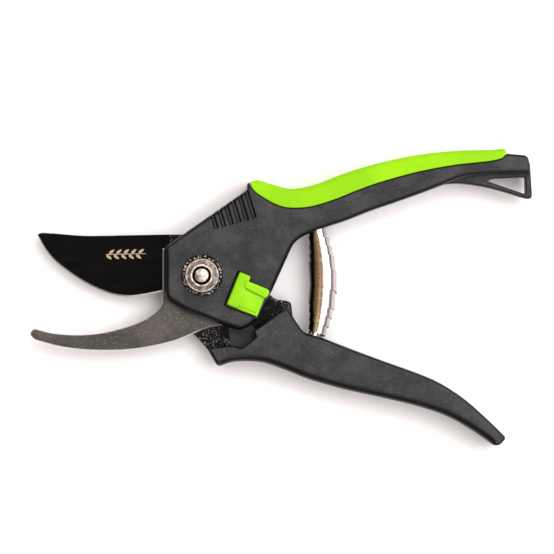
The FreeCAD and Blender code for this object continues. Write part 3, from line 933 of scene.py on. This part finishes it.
def pivotBolt():
    seat = layers["front"] - ringRecess
    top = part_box("pivot_bolt")[1][2] / mm
    rise = np.linspace(seat, top - 0.55, 48)
    wide, thick, shank = pivot["headWide"], pivot["headThick"], pivot["shank"]
    profile = [(0, 0), (wide - 0.3, 0), (wide, 0.3), (wide, thick), (shank, thick),
               (shank, seat - 0.2)]
    profile += [(pivot["thread"], z) for z in rise] + [(2.95, top - 0.25), (2.7, top), (0, top)]
    return lathe("pivotBolt", profile, "platedSteel", 96, threadDip, 50)


def washerRing():
    low, wide, bore = pivot["washerLow"], pivot["headWide"], pivot["washerBore"]
    high = low + pivot["washerThick"]
    return lathe("backWasherRing", [
        (bore, low), (wide - 0.1, low), (wide, low + 0.1), (wide, high - 0.1), (wide - 0.1, high),
        (bore, high), (bore, low)], "platedSteel")


def lockRing():
    low = layers["front"] - ringRecess
    tree = Tree("lockTeeth", {"Teeth": pivot["teeth"], "Radius": pivot["toothRing"] * mm,
                              "Tall": pivot["toothTall"] * mm})
    circle = tree.add("GeometryNodeMeshCircle", None, {"Vertices": tree.size("Teeth"),
                                                       "Radius": tree.size("Radius")})
    tooth = tree.add("GeometryNodeMeshCone", None, {
        "Vertices": 4, "Radius Top": 0.16 * mm, "Radius Bottom": 0.62 * mm,
        "Depth": tree.size("Tall")})
    where = tree.add("GeometryNodeInputPosition")
    aim = tree.add("FunctionNodeAlignEulerToVector", {"axis": "X"}, {"Vector": where})
    teeth = tree.add("GeometryNodeInstanceOnPoints", None, {"Points": circle, "Instance": tooth,
                                                            "Rotation": aim})
    lift = tree.add("ShaderNodeCombineXYZ", None, {2: (low + 0.62) * mm})
    raised = tree.add("GeometryNodeTransform", None, {"Geometry": teeth, "Translation": lift})
    crown = tree.solid("teeth", raised, "blackenedSteel", 20)
    bore, rim, high = pivot["ringIn"], pivot["ringOut"], low + pivot["ringTall"]
    band = lathe("lockBand", [
        (bore, low), (rim, low), (rim, high - 0.15), (rim - 0.15, high), (bore + 0.15, high),
        (bore, high - 0.15), (bore, low)], "blackenedSteel", 120)
    return merge("lockRingTeeth", [band, crown])


# catch
def catchSlider():
    floor = layers["hookHigh"] + catch["floor"] + 0.2
    cap = layers["front"] + catch["capRise"]
    wide, reach = catch["wide"], catch["reach"]
    pieces = []

    def block(x0, x1, y0, y1, low, high, edge=0.3, corner=0.5, back=0.3):
        runs = [(edge, corner, [p]) for p in ((x0, y0), (x1, y0), (x1, y1), (x0, y1))]
        pieces.append(plate("block", runs, low, high, "limeMoulding", backShare=back, step=0.5))

    block(0.2, catch["base"], 0.4, wide - 0.4, floor, cap + 0.2, 0.1, 0.2)
    block(catch["base"] - 1, reach, 2.9, 9.0, floor, cap + 0.2, 0.15, 0.3)
    block(0.2, catch["base"] - 1.5, -0.4, wide + 0.4, floor + 0.8, floor + 2.0, 0.1, 0.2)
    block(0.0, reach, 0.0, wide - 1.0, cap, cap + 1.2, 0.25, 0.35)
    step = [(0.15, 0.2, [(3.6, 1.3)]), (0.15, 0.2, [(reach - 1.2, 1.3)]),
            (0.15, 0.3, [(reach - 0.35, 2.2)]),
            (0.15, 0.3, [(reach - 0.35, wide - 4.6)]), (0.15, 0.3, [(reach - 1.2, wide - 3.9)]),
            (0.15, 0.2, [(3.6, wide - 3.9)])]
    pieces.append(plate("block", step, cap + 0.6, cap + 1.75, "limeMoulding", backShare=0.3,
                        step=0.5))
    block(0.0, catch["bar"], 0.0, catch["barTall"], cap, cap + 2.25, 0.8, 0.7)
    ridge = [(0.5, 0.4, [(4.0, 12.25)]), (0.3, 0.4, [(4.0, 9.4)]), (0.25, 0.5, [(9.0, 8.9)]),
             (0.25, 0.5, [(13.9, 8.3)]), (0.5, 0.6, [(14.75, 9.4)]), (0.7, 0.6, [(14.75, 11.2)]),
             (0.9, 0.7, [(13.9, 12.25)])]
    pieces.append(plate("block", ridge, cap, cap + 2.75, "limeMoulding", backShare=0.3, step=0.5))
    return inCatchFrame(merge("catchButton", pieces))


# spring: one rolled strip, widest in the middle
spring = {"at": 48.5, "top": 20.6, "low": -26.8, "shift": 2.1, "endCoil": 3.25, "midCoil": 5.75,
          "strip": 8.8, "thick": 0.3, "turns": 9.0, "midShare": 0.245}


def springBarrel():
    tree = Tree("rolledStrip", {"Turns": spring["turns"], "EndCoil": spring["endCoil"] * mm,
                                "MidCoil": spring["midCoil"] * mm, "Strip": spring["strip"] * mm,
                                "Thick": spring["thick"] * mm, "MidShare": spring["midShare"],
                                "Shift": spring["shift"] * mm})
    travel = (spring["top"] - spring["low"] - spring["strip"]) / 2 * mm
    middle = (spring["top"] + spring["low"]) / 2 * mm
    steps = 560
    grid = tree.add("GeometryNodeMeshGrid", None, {"Size X": 2.0, "Size Y": 1.0,
                                                   "Vertices X": steps,
                                                   "Vertices Y": 5})
    where = tree.add("GeometryNodeInputPosition")
    turn = tree.add("ShaderNodeSeparateXYZ", None, {0: where})
    lane = tree.calc("ROUND", tree.calc("MULTIPLY", tree.calc("ADD", turn.node.outputs[1], 0.5),
                                        4.0))
    share = tree.calc("ABSOLUTE", turn)
    edge = tree.calc("DIVIDE", 1.0, tree.size("Turns"))
    inner = tree.calc("MULTIPLY", tree.calc("DIVIDE", share, edge), tree.size("MidShare"))
    rest = tree.calc("DIVIDE", tree.calc("SUBTRACT", share, edge), tree.calc("SUBTRACT", 1.0, edge))
    outer = tree.calc("MULTIPLY_ADD", rest, tree.calc("SUBTRACT", 1.0, tree.size("MidShare")),
                      tree.size("MidShare"))
    near = tree.calc("LESS_THAN", share, edge)
    blend = tree.calc("ADD", tree.calc("MULTIPLY", near, inner),
                      tree.calc("MULTIPLY", tree.calc("SUBTRACT", 1.0, near), outer))
    rise = tree.calc("MULTIPLY", blend, tree.calc("SIGN", turn))
    radial = tree.calc("MULTIPLY", tree.size("Thick"), tree.calc("SUBTRACT", tree.calc(
        "COMPARE", tree.calc("MODULO", lane, 4.0), 1.5, 0.6), 0.5))
    across = tree.calc("MULTIPLY", tree.size("Strip"), tree.calc("SUBTRACT", tree.calc(
        "COMPARE", lane, 2.5, 0.6), 0.5))
    coil = tree.calc("ADD", radial, tree.calc("MULTIPLY_ADD", tree.calc("POWER", share, 1.15),
                                              tree.calc(
        "SUBTRACT", tree.size("EndCoil"), tree.size("MidCoil")), tree.size("MidCoil")))
    angle = tree.calc("MULTIPLY", turn, tree.calc("MULTIPLY", tree.size("Turns"), math.pi))
    lean = tree.calc("ARCTANGENT", tree.calc("DIVIDE", tree.calc("MULTIPLY", rise, tree.calc(
        "MULTIPLY", tree.size("Shift"), 2.0)), travel))
    side, up = tree.calc("COSINE", lean), tree.calc("SINE", lean)
    bow = tree.calc("MULTIPLY", tree.size("Shift"), tree.calc("SUBTRACT", 1.0,
                                                              tree.calc("MULTIPLY", rise, rise)))
    swing = tree.calc("MULTIPLY", coil, tree.calc("COSINE", angle))
    x = tree.calc("ADD", tree.calc("ADD", bow, spring["at"] * mm), tree.calc(
        "SUBTRACT", tree.calc("MULTIPLY", swing, side), tree.calc("MULTIPLY", across, up)))
    y = tree.calc("ADD", tree.calc("MULTIPLY_ADD", rise, travel, middle), tree.calc(
        "ADD", tree.calc("MULTIPLY", swing, up), tree.calc("MULTIPLY", across, side)))
    z = tree.calc("MULTIPLY_ADD", coil, tree.calc("SINE", angle), layers["front"] / 2 * mm)
    spot = tree.add("ShaderNodeCombineXYZ", None, {0: x, 1: y, 2: z})
    moved = tree.add("GeometryNodeSetPosition", None, {"Geometry": grid, "Position": spot})
    joined = tree.add("GeometryNodeMergeByDistance", None, {"Geometry": moved,
                                                            "Distance": 0.000002})
    thing = tree.solid("springBarrel", joined, "springStrip", 40)
    fixed = bmesh.new()
    fixed.from_mesh(thing.data)
    rim = [e for e in fixed.edges if len(e.link_faces) == 1]
    bmesh.ops.holes_fill(fixed, edges=rim, sides=8)
    bmesh.ops.recalc_face_normals(fixed, faces=fixed.faces)
    fixed.to_mesh(thing.data)
    fixed.free()
    return thing


# mark: a plain sprig in place of any lettering
mark = {"at": (-40.6, 8.8), "leaves": 5, "pitch": 3.1, "long": 2.7, "wide": 1.15}


def bladeMark():
    high = layers["bladeHigh"] + 0.03
    pieces = []

    def strip(points, name):
        runs = [(0.0, 0.0, [p]) for p in points]
        pieces.append(plate(name, runs, high - 0.03, high, "goldPrint", step=3))

    x0, y0 = mark["at"]
    length = mark["pitch"] * (mark["leaves"] + 0.4)
    strip([(x0, y0 - 0.16), (x0 + length, y0 + 0.24), (x0 + length, y0 + 0.5), (x0, y0 + 0.16)],
          "stem")
    for i in range(mark["leaves"]):
        for side in (1, -1):
            root = np.array((x0 + mark["pitch"] * (i + (0.45 if side > 0 else 0.1)),
                             y0 + side * 0.35 + i * 0.07))
            turn = math.radians(38 * side)
            shape = []
            for k in range(16):
                a = 2 * math.pi * k / 16
                u = mark["long"] * 0.5 * (1 + math.cos(a))
                v = mark["wide"] * 0.5 * math.sin(a) * (1 - 0.35 * math.cos(a))
                shape.append((root[0] + u * math.cos(turn) - v * math.sin(turn),
                              root[1] + u * math.sin(turn) + v * math.cos(turn)))
            strip(shape, "leaf")
    return merge("bladeMark", pieces)


def build():
    made = {}
    for piece, maker, body, nodes, slot in (
            ("hook", hookBar, "hook_side", ["hook"], "hook_steel"),
            ("upper handle", upperHandle, "hook_side", ["upper_handle"], "handle_plastic"),
            ("hanging loop", hangingLoop, "hook_side", [], "handle_plastic"),
            ("upper grip", upperGrip, "hook_side", ["upper_grip"], "lime_grip"),
            ("lower handle", lowerHandle, "blade_side", ["lower_handle"], "handle_plastic"),
            ("back head", backHead, "blade_side", [], "handle_plastic"),
            ("blade leaf", bladeLeaf, "blade_side", ["blade"], "blade_coating"),
            ("blade tang", bladeTang, "blade_side", [], "blade_coating"),
            ("recess floor", recessFloor, "blade_side", [], "handle_plastic"),
            ("blade mark", bladeMark, "blade_side", [], "blade_coating"),
            ("pivot bolt", pivotBolt, "hook_side", ["pivot_bolt"], "bright_steel"),
            ("pivot nut", pivotNut, "hook_side", ["pivot_nut"], "bright_steel"),
            ("back washer", washerRing, "hook_side", ["back_washer"], "bright_steel"),
            ("lock ring", lockRing, "hook_side", ["lock_ring"], "black_steel"),
            ("catch", catchSlider, "catch", ["catch_slider"], "lime_plastic")):
        thing = maker()
        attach(thing, body)
        if nodes:
            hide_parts(*nodes)
        made[piece] = thing
        print("made", piece, len(thing.data.polygons))
    thing = springBarrel()
    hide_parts("main_spring")
    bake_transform(thing)
    print("made spring", len(thing.data.polygons))
    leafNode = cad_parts["catch_spring"]
    leafNode.data.materials.clear()
    leafNode.data.materials.append(finishes["springStrip"])


build()


# stage, light and camera
view = {"centre": (0.0313, -0.00067), "across": 0.2327, "far": 1.25, "focusHeight": 0.0085}
studio = {"floorLevel": -0.0004, "floorHalf": 3, "world": rgb(0.42, 0.345, 0.33), "worldPower": 0.8,
          "aim": (0.03, 0, 0)}
lamps = {"key": ((0.60, 0.30, 0.90), 1.1, 14.5), "left": ((-0.35, 0.55, 0.95), 0.9, 4.5),
         "low": ((0.25, -0.50, 0.95), 0.9, 5.0)}    # place, size, power


def stageAndLight():
    half, level = studio["floorHalf"], studio["floorLevel"]
    floorMesh = bpy.data.meshes.new("floor")
    floorMesh.from_pydata([(x * half, y * half, level) for x, y in ((-1, -1), (1, -1), (1, 1),
                                                                    (-1, 1))],
                          [], [(0, 1, 2, 3)])
    floorMesh.materials.append(finishes["paleFloor"])
    placed("floor", floorMesh)
    world = bpy.data.worlds.new("studio")
    world.use_nodes = True
    sky = world.node_tree.nodes["Background"]
    sky.inputs[0].default_value = studio["world"]
    sky.inputs[1].default_value = studio["worldPower"]
    bpy.context.scene.world = world
    for name, (spot, size, power) in lamps.items():
        lamp = bpy.data.lights.new(name, "AREA")
        lamp.energy = power
        lamp.size = size
        holder = placed(name, lamp)
        holder.location = spot
        holder.rotation_euler = (Vector(studio["aim"]) - Vector(spot)).to_track_quat("-Z",
                                                                                     "Y").to_euler()


def camera():
    lens = bpy.data.cameras.new("camera")
    lens.sensor_width = 36
    lens.lens = lens.sensor_width * view["far"] / view["across"]
    lens.clip_start = 0.01
    holder = placed("camera", lens)
    holder.location = (*view["centre"], view["far"] + view["focusHeight"])
    bpy.context.scene.camera = holder


stageAndLight()
camera()
bpy.context.scene.view_settings.view_transform = "Standard"
print("stage set")
